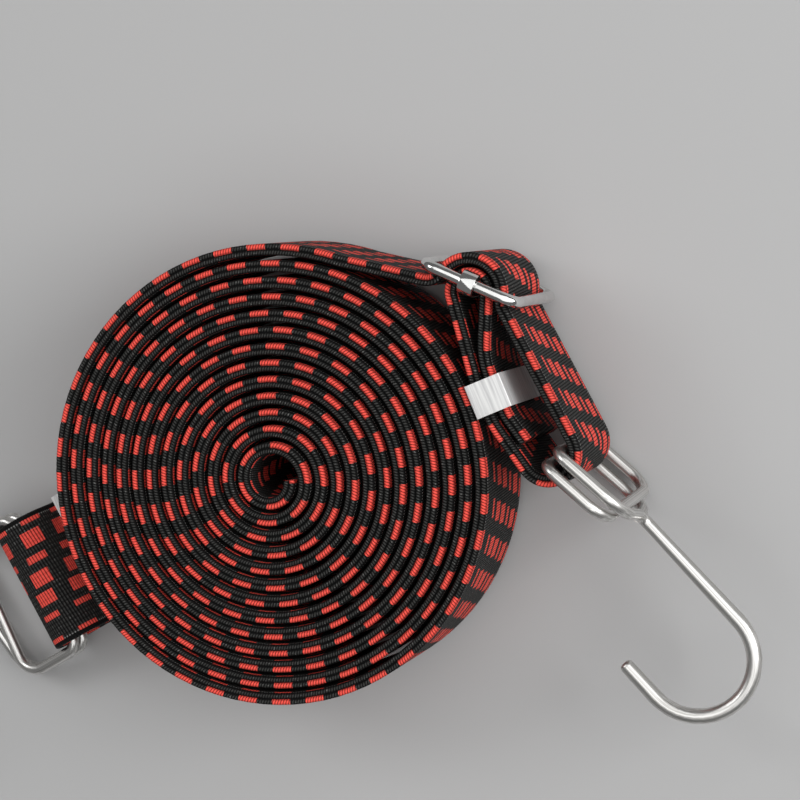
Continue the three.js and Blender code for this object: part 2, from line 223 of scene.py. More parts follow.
@dataclass(frozen=True)
class WebbingFinish:
    """Black woven elastic with dashes of red yarn."""

    rib_pitch: float = 0.72 * MM
    rib_slant: float = 0.075  # on the faces, along for each unit across
    cord_pitch: float = 1.3 * MM
    cord_groove: float = 0.7  # the ribs' height between two cords of a face, which also paints a shaded line there
    bead_from: float = 16.7 * MM
    bead_crest: float = 18.4 * MM
    bead_flat: float = 0.2625 * MM  # from the crest, at full height
    bead_half: float = 1.05 * MM
    bead_side_height_and_shade: float = 0.5  # the ribs' height at a bead's sides, which bumps them and also paints shade on them
    bead_twist: float = 400.0  # ribs' slant on the beads
    dash_period: float = 8.9 * MM
    dash_share: float = 0.54
    dash_drift: float = 0.24  # along, for each unit across
    columns: tuple[DashColumn, ...] = (
        DashColumn(17.6 * MM, 4.2 * MM),
        DashColumn(9.7 * MM, 1.6 * MM),
        DashColumn(4.7 * MM, 3.6 * MM),
        DashColumn(-0.7 * MM, 4.0 * MM),
        DashColumn(-6.1 * MM, 2.0 * MM),
        DashColumn(-11.5 * MM, 4.2 * MM),
        DashColumn(-17.6 * MM, 4.2 * MM),
    )
    grey_line: DashColumn = DashColumn(16.5 * MM, 0.35 * MM)  # a thin grey line beside each bead, on the yarn's tops
    grey_line_strength: float = 0.8
    specks: Grain = Grain(1400.0, 1.0, 0.6, 0.72)
    speck_strength: float = 0.4
    black: Colour = (0.035, 0.035, 0.033, 1)
    # painted shade: the black yarn's colour darkened in the grooves of the weave
    black_groove_painted_shade: Colour = (0.001, 0.001, 0.001, 1)
    black_shade_heights: tuple[float, float] = (0.7, 1.0)  # the heights over which painted shade in the grooves fades to the yarn's own colour
    red: Colour = (0.93, 0.095, 0.07, 1)
    # painted shade: the red yarn's colour darkened in the grooves and on the beads' sides
    red_groove_painted_shade: Colour = (0.1, 0.003, 0.002, 1)
    red_shade_heights: tuple[float, float] = (0.2, 0.9)
    grey: Colour = (0.3, 0.3, 0.29, 1)
    groove_roughness: float = 0.95
    yarn_roughness: float = 0.65
    relief: float = 0.3 * MM
    specular: float = 0.22

    def material(self) -> Material:
        """Builds the material.

        Returns:
            The webbing's material.
        """
        made = bpy.data.materials.new("woven_webbing")
        made.use_nodes = True
        board = Board(made.node_tree)
        vector = board.node("ShaderNodeAttribute", attribute_name="weave").outputs["Vector"]
        along, around, side = board.node("ShaderNodeSeparateXYZ", {0: vector}).outputs
        off_middle = board.math("ABSOLUTE", around)
        bead = board.math("GREATER_THAN", off_middle, self.bead_from)
        weave = Weave(along, around, side, off_middle, bead)

        # the height drives the bump and the roughness, and also painted shade in the colour
        height = self.yarns(board, weave)
        # painted shade: low yarn, in a groove or on a bead's side, is given a darker colour
        shade = board.remap(height, *self.black_shade_heights)
        specks = board.grain(vector, self.specks, self.speck_strength)
        grey_line = board.math("COMPARE", off_middle, self.grey_line.centre, self.grey_line.width / 2)
        bright = board.math("MAXIMUM", specks, board.math("MULTIPLY", grey_line, self.grey_line_strength))
        light = board.math("MULTIPLY", shade, bright)
        black = board.blend(light, board.blend(shade, self.black_groove_painted_shade, self.black), self.grey)
        # the red dashes get the same painted shade in their grooves
        red = board.blend(board.remap(height, *self.red_shade_heights), self.red_groove_painted_shade, self.red)
        colour = board.blend(self.dashes(board, weave), black, red)
        rough = board.remap(height, 0.0, 1.0, self.groove_roughness, self.yarn_roughness)
        shader = board.surface(colour, rough, height, 1.0, self.relief)
        shader.inputs["Specular IOR Level"].default_value = self.specular
        return made

    def yarns(self, board: Board, weave: Weave) -> Socket:
        """Lays the ribs over the cords of the faces and round the beads.

        Args:
            board: The material's board.
            weave: Where the weave is.

        Returns:
            The yarn's height, from 0 in a groove to 1: it drives the bump, and the painted shade in the
            colour.
        """
        slant = board.math("MULTIPLY", weave.around, -self.rib_slant / self.rib_pitch)
        twist = board.math("MULTIPLY", board.math("MULTIPLY", weave.around, weave.side), self.bead_twist)
        lean = board.mix(weave.bead, slant, twist)
        ribs = board.yarn(board.math("ADD", board.math("DIVIDE", weave.along, self.rib_pitch), lean))
        cords = board.yarn(board.math("DIVIDE", weave.around, self.cord_pitch))
        face = board.remap(cords, 0.0, 1.0, self.cord_groove, 1.0)
        off_crest = board.math("ABSOLUTE", board.math("SUBTRACT", weave.off_middle, self.bead_crest))
        # the crest's profile bumps the bead and also paints shade on its sides
        crest_height_and_shade = board.remap(off_crest, self.bead_flat, self.bead_half, 1.0, self.bead_side_height_and_shade)
        return board.math("MULTIPLY", ribs, board.mix(weave.bead, face, crest_height_and_shade))

    def dashes(self, board: Board, weave: Weave) -> Socket:
        """Lays the columns of red dashes, which the inner beads don't have.

        Args:
            board: The material's board.
            weave: Where the weave is.

        Returns:
            A mask, 1 on red yarn.
        """
        turns = board.math("DIVIDE", weave.along, self.dash_period)
        red: Source = 0.0
        for wanted in self.columns:
            near = board.math("COMPARE", weave.around, wanted.centre, wanted.width / 2)
            phase = board.math("ADD", turns, wanted.centre * self.dash_drift / self.dash_period)
            on = board.math("LESS_THAN", board.math("FRACT", phase), self.dash_share)
            red = board.math("MAXIMUM", red, board.math("MULTIPLY", near, on))
        inner_bead = board.math("MULTIPLY", weave.bead, board.math("LESS_THAN", weave.side, 0.0))
        return board.math("MULTIPLY", red, board.math("SUBTRACT", 1.0, inner_bead))


@dataclass(frozen=True)
class MetalFinish:
    """A bright metal with marks of its making and handling."""

    name: str
    colour: Colour
    dull: Colour  # in the marks
    roughness: float
    dull_roughness: float
    mark_depth: float
    mark_strength: float = 0.4
    metallic: float = 1.0
    drawn: bool = False  # with the lines that drawing leaves along a wire
    brushed_at: float | None = None  # degrees in plan, along the brushing
    heat: Colour | None = None  # the colour that welding left at the wire's end
    heat_strength: float = 0.9
    heat_reach: tuple[float, float] = (2.0 * MM, 5.0 * MM)  # from the weld, where it fades out

    def material(self, marks: bpy.types.NodeTree) -> Material:
        """Builds the material.

        Args:
            marks: The group of handling marks.

        Returns:
            The metal's material.
        """
        made = bpy.data.materials.new(self.name)
        made.use_nodes = True
        board = Board(made.node_tree)
        coordinates = board.node("ShaderNodeTexCoord").outputs
        if self.brushed_at is None:
            wear, relief = board.node("ShaderNodeGroup", {0: coordinates["Object"]}, node_tree=marks).outputs
        else:
            wear = relief = self.brushing(board, coordinates["Object"])
        if self.drawn:  # the lines follow the direction that a round wire's surface faces
            wear = board.grain(coordinates["Normal"], DRAWN)
        colour = board.blend(wear, self.colour, self.dull)
        if self.heat is not None:
            weld = board.node("ShaderNodeAttribute", attribute_name="from_weld").outputs["Fac"]
            heated = board.remap(weld, *self.heat_reach, self.heat_strength, 0.0)
            colour = board.blend(heated, colour, self.heat)
        rough = board.remap(wear, 0.0, 1.0, self.roughness, self.dull_roughness)
        shader = board.surface(colour, rough, relief, self.mark_strength, self.mark_depth)
        shader.inputs["Metallic"].default_value = self.metallic
        return made

    def brushing(self, board: Board, place: Source) -> Socket:
        """Draws fine lines in one direction.

        Args:
            board: The material's board.
            place: The Object coordinates.

        Returns:
            A mask, 1 in a line.
        """
        turn = (0, 0, math.radians(self.brushed_at))
        sources = {"Vector": place, "Rotation": turn, "Scale": (BRUSH_STRETCH, 1, 1)}
        lines = board.node("ShaderNodeMapping", sources, vector_type="TEXTURE")
        return board.grain(lines.outputs[0], BRUSHED)


# Modelling by hand
TOUCH = 0.001 * MM  # points nearer than this are one
ON = 0.01 * MM  # a point nearer than this to a plane or a circle lies on it
SMOOTH_BELOW = math.radians(40)
SHARP_FROM = math.radians(50)
EDGE_SEGMENTS = 2


def deselect() -> None:
    """Deselects all objects."""
    bpy.ops.object.select_all(action="DESELECT")


def take(obj: Piece) -> None:
    """Selects one object and makes it active."""
    deselect()
    obj.select_set(True)
    bpy.context.view_layer.objects.active = obj


def added(name: str) -> Piece:
    """Names the piece that was added last, applies its transform and returns it."""
    made = bpy.context.object
    made.name = made.data.name = name
    bpy.ops.object.transform_apply(location=True, rotation=True, scale=True)
    return made


def twin(obj: Piece, name: str) -> Piece:
    """Copies a piece, with a mesh of its own, and returns the copy."""
    made = obj.copy()
    made.data = obj.data.copy()
    made.name = name
    bpy.context.scene.collection.objects.link(made)
    return made


def edit_all() -> None:
    """Opens the active piece in edit mode, with all of it selected."""
    bpy.ops.object.mode_set(mode="EDIT")
    bpy.ops.mesh.select_mode(type="EDGE")
    bpy.ops.mesh.select_all(action="SELECT")


def pick(obj: Piece, kind: str, wanted: Callable[..., bool]) -> None:
    """Opens a piece in edit mode, with some of its faces or edges selected.

    Args:
        obj: The piece.
        kind: "FACE" or "EDGE".
        wanted: Tells whether a face or an edge is selected.
    """
    take(obj)
    bpy.ops.object.mode_set(mode="EDIT")
    bpy.ops.mesh.select_mode(type=kind)
    bpy.ops.mesh.select_all(action="DESELECT")
    bpy.ops.object.mode_set(mode="OBJECT")
    for element in obj.data.polygons if kind == "FACE" else obj.data.edges:
        element.select = wanted(element)
    bpy.ops.object.mode_set(mode="EDIT")


def drop_picked() -> None:
    """Deletes the picked faces and leaves edit mode."""
    bpy.ops.mesh.delete(type="FACE")
    bpy.ops.object.mode_set(mode="OBJECT")


def round_picked(radius: float, segments: int) -> None:
    """Rounds the picked edges and leaves edit mode."""
    bpy.ops.mesh.bevel(offset=radius, offset_type="OFFSET", segments=segments, affect="EDGES")
    bpy.ops.object.mode_set(mode="OBJECT")


def ease_edges(obj: Piece, width: float) -> None:
    """Bevels the sharp edges of a piece and shades the rest smooth."""
    edge = obj.modifiers.new("edge", "BEVEL")
    edge.width = width
    edge.segments = EDGE_SEGMENTS
    edge.limit_method = "ANGLE"
    edge.angle_limit = SHARP_FROM
    bpy.ops.object.modifier_apply(modifier=edge.name)
    bpy.ops.object.shade_smooth_by_angle(angle=SMOOTH_BELOW)


def settle(obj: Piece, place: Matrix) -> None:
    """Puts a piece at its place and applies that, so that the place is in its mesh.

    Args:
        obj: The piece, modelled about the origin.
        place: Its place in the part's frame.
    """
    take(obj)
    obj.matrix_world = place
    bpy.ops.object.transform_apply(location=True, rotation=True, scale=True)


def face_out(obj: Piece) -> None:
    """Merges doubles and points the normals outwards."""
    take(obj)
    edit_all()
    bpy.ops.mesh.remove_doubles(threshold=TOUCH)
    bpy.ops.mesh.normals_make_consistent(inside=False)
    bpy.ops.object.mode_set(mode="OBJECT")


def finish(obj: Piece, body: Body, slot: Slot, material: Material, *nodes: str) -> None:
    """Dresses a piece and ties it to the frame.

    Args:
        obj: The piece, in place.
        body: The body that it rides on.
        slot: Its material slot in the record; not used.
        material: Its finish.
        nodes: The CAD nodes that it replaces.
    """
    obj.data.materials.clear()
    obj.data.materials.append(material)
    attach(obj, body.value)
    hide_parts(*nodes)
    LOG.info("%s: %d faces on %s", obj.name, len(obj.data.polygons), body.value)


@dataclass(frozen=True)
class Corner:
    """A corner of a wire's path, bent to a radius. The ends of a wire are corners without one."""

    at: Vector
    bend: float = 0.0
    wire: float = 0.0  # the wire's radius after this corner


@dataclass
class Wire:
    """A round wire, drawn along straights and bends."""

    name: str
    corners: list[Corner]
    sides: int = 20
    bend_step: float = math.radians(9)

    def build(self, closed: bool = False) -> Piece:
        """Models the wire: a circle is drawn out along each straight and spun round each bend.

        Args:
            closed: The path ends where it starts, in the middle of a straight.

        Returns:
            The wire, about the origin.
        """
        first, second = self.corners[0], self.corners[1]
        lead = (second.at - first.at).normalized()
        deselect()
        bpy.ops.mesh.primitive_circle_add(
            vertices=self.sides,
            radius=first.wire,
            location=first.at,
            rotation=lead.to_track_quat("Z", "Y").to_euler(),
        )
        made = added(self.name)
        edit_all()
        if not closed:
            bpy.ops.mesh.edge_face_add()
            bpy.ops.mesh.select_all(action="SELECT")
        here, radius = first.at, first.wire
        for before, corner, after in zip(self.corners, self.corners[1:], self.corners[2:]):
            back, on = (before.at - corner.at).normalized(), (after.at - corner.at).normalized()
            half = back.angle(on) / 2
            centre = corner.at + (back + on).normalized() * (corner.bend / math.sin(half))
            start = corner.at + back * (corner.bend / math.tan(half))
            self.draw(start - here, corner.wire / radius, start)
            turn = math.pi - 2 * half
            bpy.ops.mesh.spin(
                steps=max(2, math.ceil(turn / self.bend_step)),
                angle=turn,
                center=centre,
                axis=back.cross(on).normalized(),
            )
            here, radius = corner.at + on * (corner.bend / math.tan(half)), corner.wire
        last = self.corners[-1]
        self.draw(last.at - here, last.wire / radius, last.at)
        bpy.ops.object.mode_set(mode="OBJECT")
        face_out(made)
        bpy.ops.object.shade_smooth_by_angle(angle=SMOOTH_BELOW)
        return made

    def draw(self, leg: Vector, swell: float, end: Vector) -> None:
        """Extrudes the selected end along a straight and scales it.

        Args:
            leg: The straight.
            swell: The end's size, for a start of 1.
            end: The end's middle.
        """
        bpy.ops.mesh.extrude_region_move(TRANSFORM_OT_translate={"value": leg})
        if swell != 1:
            bpy.ops.transform.resize(value=(swell,) * 3, center_override=end)


# The strap
Bend = tuple[Vector, float]  # a circle's centre, and its radius: over 0 where a belt turns left


@dataclass(frozen=True)
class Station:
    """A point of a belt's route in a plane, and the belt's heading there."""

    at: Vector
    heading: float

    @property
    def left(self) -> Vector:
        """The direction to the belt's left."""
        return Vector((-math.sin(self.heading), math.cos(self.heading)))


def belt_route(start: Vector, bends: Sequence[Bend], end: Vector, step: float) -> list[Station]:
    """Leads a belt round circles.

    Args:
        start: Its first point.
        bends: The circles, in order.
        end: Its last point.
        step: The largest angle between two stations on a circle.

    Returns:
        The stations, in order.
    """
    stops = [(start, 0.0), *bends, (end, 0.0)]
    headings = []
    for (b, q), (c, r) in zip(stops, stops[1:]):
        gap = c - b
        headings.append(math.atan2(gap.y, gap.x) - math.asin((r - q) / gap.length))
    route = [Station(start, headings[0])]
    for (centre, radius), enters, leaves in zip(bends, headings, headings[1:]):
        side = math.copysign(1.0, radius)
        turn = (leaves - enters) * side % (2 * math.pi)
        steps = max(1, math.ceil(turn / step))
        for k in range(steps + 1):
            heading = enters + side * turn * k / steps
            route.append(Station(centre + radius * Vector((math.sin(heading), -math.cos(heading))), heading))
    route.append(Station(end, headings[-1]))
    return route


def polar(degrees: float) -> Vector:
    """A unit vector in the plane."""
    return Vector((math.cos(math.radians(degrees)), math.sin(math.radians(degrees))))


@dataclass(frozen=True)
class SectionPoint:
    """A point of the webbing's section, with where the weave is there."""

    through: float
    across: float
    around: float
    side: float


@dataclass(frozen=True)
class Webbing:
    """The flat strap: its section has two beads along each edge."""

    width: float = 36 * MM
    thickness: float = 3.5 * MM
    layer_gap: float = 0.3 * MM
    face_steps: int = 4  # from a face's middle to its edge
    bead: float = 0.74 * MM  # its radius
    bead_steps: int = 6
    bead_end: float = 158.0  # degrees round a bead, where the groove between the two is
    bend_step: float = math.radians(5)
    smooth_below: float = math.radians(50)

    @property
    def layer_pitch(self) -> float:
        """From a layer to the next that presses on it."""
        return self.thickness + self.layer_gap

    def section(self) -> list[SectionPoint]:
        """Draws the section, round from the middle of the outer face.

        Returns:
            Its points, in order.
        """
        bead = self.bead
        base = self.width / 2 - bead
        steps = [base * k / self.face_steps for k in range(self.face_steps)]
        quarter = [SectionPoint(2 * bead, across, across, 1.0) for across in steps]
        for k in range(self.bead_steps + 1):
            turn = math.radians(self.bead_end) * k / self.bead_steps
            spot = (bead + bead * math.cos(turn), base + bead * math.sin(turn), base + bead * turn)
            quarter.append(SectionPoint(*spot, 1.0))
        groove = SectionPoint(0.0, quarter[-1].across, quarter[-1].around, 0.0)
        inner = [SectionPoint(-p.through, p.across, p.around, -1.0) for p in reversed(quarter)]
        upper = [*quarter, groove, *inner]
        lower = [SectionPoint(p.through, -p.across, -p.around, p.side) for p in reversed(upper[1:-1])]
        return upper + lower

    def strap(
        self,
        name: str,
        route: Sequence[Station],
        place: Callable[[Vector, float], Vector],
        sway: Callable[[float], float] = lambda along: 0.0,
    ) -> Piece:
        """Models a length of strap along a route.

        Args:
            name: The piece's name.
            route: Its stations in a plane.
            place: Turns a point of the plane, and a distance across the strap, into a point in space.
            sway: How far the strap is shifted across, for a distance along it.

        Returns:
            The strap, with its weave as an attribute.
        """
        section = self.section()
        sides = len(section)
        points: list[Vector] = []
        weave: list[float] = []
        along = 0.0
        for i, station in enumerate(route):
            along += (station.at - route[i - 1].at).length if i else 0.0
            shift = sway(along)
            for p in section:
                points.append(place(station.at + station.left * p.through, p.across + shift))
                weave += [along, p.around, p.side]
        faces: list[Sequence[int]] = [
            (ring + k, ring + (k + 1) % sides, ring + sides + (k + 1) % sides, ring + sides + k)
            for ring in range(0, len(points) - sides, sides)
            for k in range(sides)
        ]
        faces += [range(sides), range(len(points) - sides, len(points))]
        mesh = bpy.data.meshes.new(name)
        mesh.from_pydata(points, [], faces)
        mesh.attributes.new("weave", "FLOAT_VECTOR", "POINT").data.foreach_set("vector", weave)
        made = bpy.data.objects.new(name, mesh)
        bpy.context.scene.collection.objects.link(made)
        take(made)
        edit_all()
        bpy.ops.mesh.normals_make_consistent(inside=False)
        bpy.ops.object.mode_set(mode="OBJECT")
        bpy.ops.object.shade_smooth_by_angle(angle=self.smooth_below)
        made["strap_length"] = along
        return made


@dataclass(frozen=True)
class Roll:
    """The rolled-up strap: a spiral that runs out clockwise."""

    inner_radius: float = 5 * MM
    pitch: float = 4.15 * MM
    turns: float = 12.8
    step: float = math.radians(4)
    sway_height: float = 0.22 * MM
    sway_lengths: tuple[float, ...] = (27 * MM, 41 * MM)
    sway_fade: float = 120 * MM

    def route(self) -> list[Station]:
        """The spiral's stations, about its axis."""
        count = math.ceil(self.turns * 2 * math.pi / self.step)
        return [self.station(self.turns * i / count) for i in range(count + 1)]

    @property
    def length(self) -> float:
        """The length of strap in the roll."""
        return 2 * math.pi * self.turns * (self.inner_radius + self.pitch * self.turns / 2)

    def sway(self, along: float) -> float:
        """How far the turns stand above or below the strap's middle height.

        Args:
            along: Distance from the inner end.

        Returns:
            The shift, which fades out before the roll ends.
        """
        fade = min(1.0, max(0.0, (self.length - along) / self.sway_fade))
        return self.sway_height * fade * sum(math.sin(along / length) for length in self.sway_lengths)

    def station(self, turn: float) -> Station:
        """One station.

        Args:
            turn: Turns from the inner end.

        Returns:
            The spiral's point and heading there.
        """
        radius = self.inner_radius + self.pitch * turn
        angle = -2 * math.pi * turn
        slope = math.atan(self.pitch / (2 * math.pi * radius))
        return Station(radius * Vector((math.cos(angle), math.sin(angle))), angle - math.pi / 2 + slope)

    def outer_radius(self, webbing: Webbing) -> float:
        """The roll's reach, out to its last face."""
        return self.inner_radius + self.pitch * self.turns + webbing.thickness / 2


# Hardware
@dataclass(frozen=True)
class WireStock:
    """The wire of the hooks and of the buckle frame."""

    radius: float = 1.5 * MM
    edge_gap: float = 0.5 * MM

    def rail_reach(self, webbing: Webbing) -> float:
        """From the strap's middle to the axis of a wire along its edge."""
        return webbing.width / 2 + self.edge_gap + self.radius


@dataclass(frozen=True)
class Hook:
    """A wire hook along x: an eye wound twice, a shank that swells, and a J."""

    stock: WireStock = WireStock()
    eye_length: float = 19.5 * MM
    eye_pitch: float = 4.4 * MM
    eye_corner: float = 3.5 * MM
    eye_crossing: float = 6 * MM
    eye_sweep: float = 8 * MM
    eye_shoulder: float = 2.5 * MM
    eye_neck: float = 4.2 * MM
    eye_end: float = 2.4 * MM
    shank_length: float = 35.4 * MM
    shank_set: float = 5.6
    j_wire: float = 1.95 * MM
    j_radius: float = 14.4 * MM
    j_tip: float = 11.3 * MM
    tip_wire: float = 1.8 * MM
    tip_rounding: float = 1.2 * MM
    tip_segments: int = 5
    fold_radius: float = 6.8 * MM
    fold_seat: float = 1.8 * MM
    weld_share: float = 0.2  # from the wire's end to the eye's shoulder

    @property
    def neck(self) -> float:
        """From the eye's bars to the start of the shank."""
        return self.eye_length + self.eye_neck

    def from_neck(self, along: float, out: float) -> Vector:
        """A point from the neck.

        Args:
            along: Distance along the shank.
            out: Distance to the J's side.

        Returns:
            The point in the hook's own frame.
        """
        c, s = polar(-self.shank_set)
        return Vector((self.neck + along * c + out * s, along * s - out * c, 0))

    def build(self, webbing: Webbing) -> Piece:
        """Models the hook about its bars.

        Args:
            webbing: The strap that its eye takes.

        Returns:
            The hook.
        """
        near, first = self.stock.rail_reach(webbing), self.eye_pitch / 2
        shoulder = self.eye_length + self.eye_shoulder
        base = self.shank_length + self.j_radius
        eye = [
            ((self.neck, 0, 0), self.eye_corner),
            ((shoulder, first, near), self.eye_sweep),
            ((0, first, near), self.eye_corner),
            ((0, first, -near), self.eye_corner),
            ((self.eye_length, first, -near), self.eye_crossing),
            ((self.eye_length, -first, near), self.eye_crossing),
            ((0, -first, near), self.eye_corner),
            ((0, -first, -near), self.eye_corner),
            ((shoulder, -first, -near), self.eye_sweep),
        ]
        end = (self.neck, -first / 2, -self.eye_end)
        corners = [
            Corner(self.from_neck(self.shank_length - self.j_tip, 2 * self.j_radius), 0, self.tip_wire),
            Corner(self.from_neck(base, 2 * self.j_radius), self.j_radius, self.j_wire),
            Corner(self.from_neck(base, 0), self.j_radius, self.j_wire),
            *(Corner(Vector(at), bend, self.stock.radius) for at, bend in eye),
            Corner(Vector(end), 0, self.stock.radius),
        ]
        made = Wire("hook", corners).build()
        self.round_tip(made, corners[0])
        weld = corners[-1].at.lerp(corners[-2].at, self.weld_share)
        away = [(v.co - weld).length for v in made.data.vertices]
        made.data.attributes.new("from_weld", "FLOAT", "POINT").data.foreach_set("value", away)
        return made

    def round_tip(self, made: Piece, tip: Corner) -> None:
        """Rounds the rim of the J's tip.

        Args:
            made: The hook.
            tip: The path's first corner.
        """

        def on_rim(edge: bpy.types.MeshEdge) -> bool:
            """Tells whether both ends of an edge lie on the rim."""
            ends = (made.data.vertices[i].co for i in edge.vertices)
            return all(abs((end - tip.at).length - tip.wire) < ON for end in ends)

        pick(made, "EDGE", on_rim)
        round_picked(self.tip_rounding, self.tip_segments)


@dataclass(frozen=True)
class Clip:
    """A band round two layers of the strap, along x, with the layers' faces towards y."""

    length: float = 8.6 * MM
    wall: float = 0.8 * MM
    gap: float = 0.3 * MM
    corner: float = 0.4 * MM
    corner_segments: int = 4
    rim: float = 0.2 * MM

    def build(self, name: str, webbing: Webbing) -> Piece:
        """Models the band: a box without its ends, given its wall and round corners.

        Args:
            name: The piece's name.
            webbing: The strap that it holds.

        Returns:
            The clip, about its middle.
        """
        deep = webbing.thickness + webbing.layer_pitch + 2 * self.gap + 2 * self.wall
        wide = webbing.width + 2 * self.gap + 2 * self.wall
        deselect()
        bpy.ops.mesh.primitive_cube_add(size=1, scale=(self.length, deep, wide))
        made = added(name)

        def at_end(face: bpy.types.MeshPolygon) -> bool:
            """Tells whether a face closes an end of the box."""
            return abs(abs(face.center.x) - self.length / 2) < ON

        def lengthwise(edge: bpy.types.MeshEdge) -> bool:
            """Tells whether an edge runs from end to end."""
            a, b = (made.data.vertices[i].co.x for i in edge.vertices)
            return abs(abs(a - b) - self.length) < ON

        pick(made, "FACE", at_end)
        drop_picked()
        pick(made, "EDGE", lengthwise)
        round_picked(self.corner, self.corner_segments)
        wall = made.modifiers.new("wall", "SOLIDIFY")
        wall.thickness = self.wall
        wall.offset = -1  # all of it inside the box
        bpy.ops.object.modifier_apply(modifier=wall.name)
        ease_edges(made, self.rim)
        return made


@dataclass(frozen=True)
class Buckle:
    """The slide buckle along x: a wire frame, and a bar with its ends rolled round the frame's rails."""

    stock: WireStock = WireStock()
    corner: float = 3.5 * MM
    play: float = 0.9 * MM
    bar_width: float = 4 * MM
    bar_thickness: float = 1.2 * MM
    bar_edge: float = 0.25 * MM
    bar_play: float = 0.6 * MM
    bar_roll: float = 200.0  # degrees of each rolled end
    roll_steps: int = 24
    roll_gap: float = 0.25 * MM

    @property
    def roll_radius(self) -> float:
        """From a rail's axis to the middle of the strip rolled round it."""
        return self.stock.radius + self.roll_gap + self.bar_thickness / 2

    def round_end_bar(self, webbing: Webbing) -> float:
        """The radius of the strap's middle round an end bar."""
        return self.stock.radius + self.play + webbing.thickness / 2

    def round_middle_bar(self, webbing: Webbing) -> float:
        """The radius of the strap's middle round the middle bar."""
        return math.hypot(self.bar_width, self.bar_thickness) / 2 + self.bar_play + webbing.thickness / 2

    def reach(self, webbing: Webbing) -> float:
        """From the middle to an end bar, with room for two layers beside the middle bar."""
        return self.round_end_bar(webbing) + self.round_middle_bar(webbing) + webbing.layer_pitch

    def build_frame(self, webbing: Webbing) -> Piece:
        """Models the wire frame.

        Args:
            webbing: The strap that it takes.

        Returns:
            The frame, about its middle.
        """
        x, z, r = self.reach(webbing), self.stock.rail_reach(webbing), self.stock.radius
        middle = Corner(Vector((0, 0, -z)), 0, r)
        spots = ((x, 0, -z), (x, 0, z), (-x, 0, z), (-x, 0, -z))
        loop = [Corner(Vector(at), self.corner, r) for at in spots]
        return Wire("buckle_wire", [middle, *loop, middle]).build(closed=True)

    def build_bar(self, webbing: Webbing) -> Piece:
        """Models the bar: half of it is drawn up from the middle and spun round a rail, then mirrored.

        Args:
            webbing: The strap that it takes.

        Returns:
            The bar, about the frame's middle.
        """
        rail = self.stock.rail_reach(webbing)
        deselect()
        bpy.ops.mesh.primitive_plane_add(size=1, location=(0, -self.roll_radius, 0))
        bpy.context.object.scale = (self.bar_width, self.bar_thickness, 1)
        made = added("buckle_strip")
        edit_all()
        bpy.ops.mesh.extrude_region_move(TRANSFORM_OT_translate={"value": (0, 0, rail)})
        turn = math.radians(self.bar_roll)
        bpy.ops.mesh.spin(steps=self.roll_steps, angle=turn, center=(0, 0, rail), axis=(1, 0, 0))
        bpy.ops.object.mode_set(mode="OBJECT")
        pick(made, "FACE", lambda face: abs(face.center.z) < ON)
        drop_picked()
        mirror = made.modifiers.new("other_end", "MIRROR")
        mirror.use_axis = (False, False, True)
        bpy.ops.object.modifier_apply(modifier=mirror.name)
        face_out(made)
        ease_edges(made, self.bar_edge)
        return made


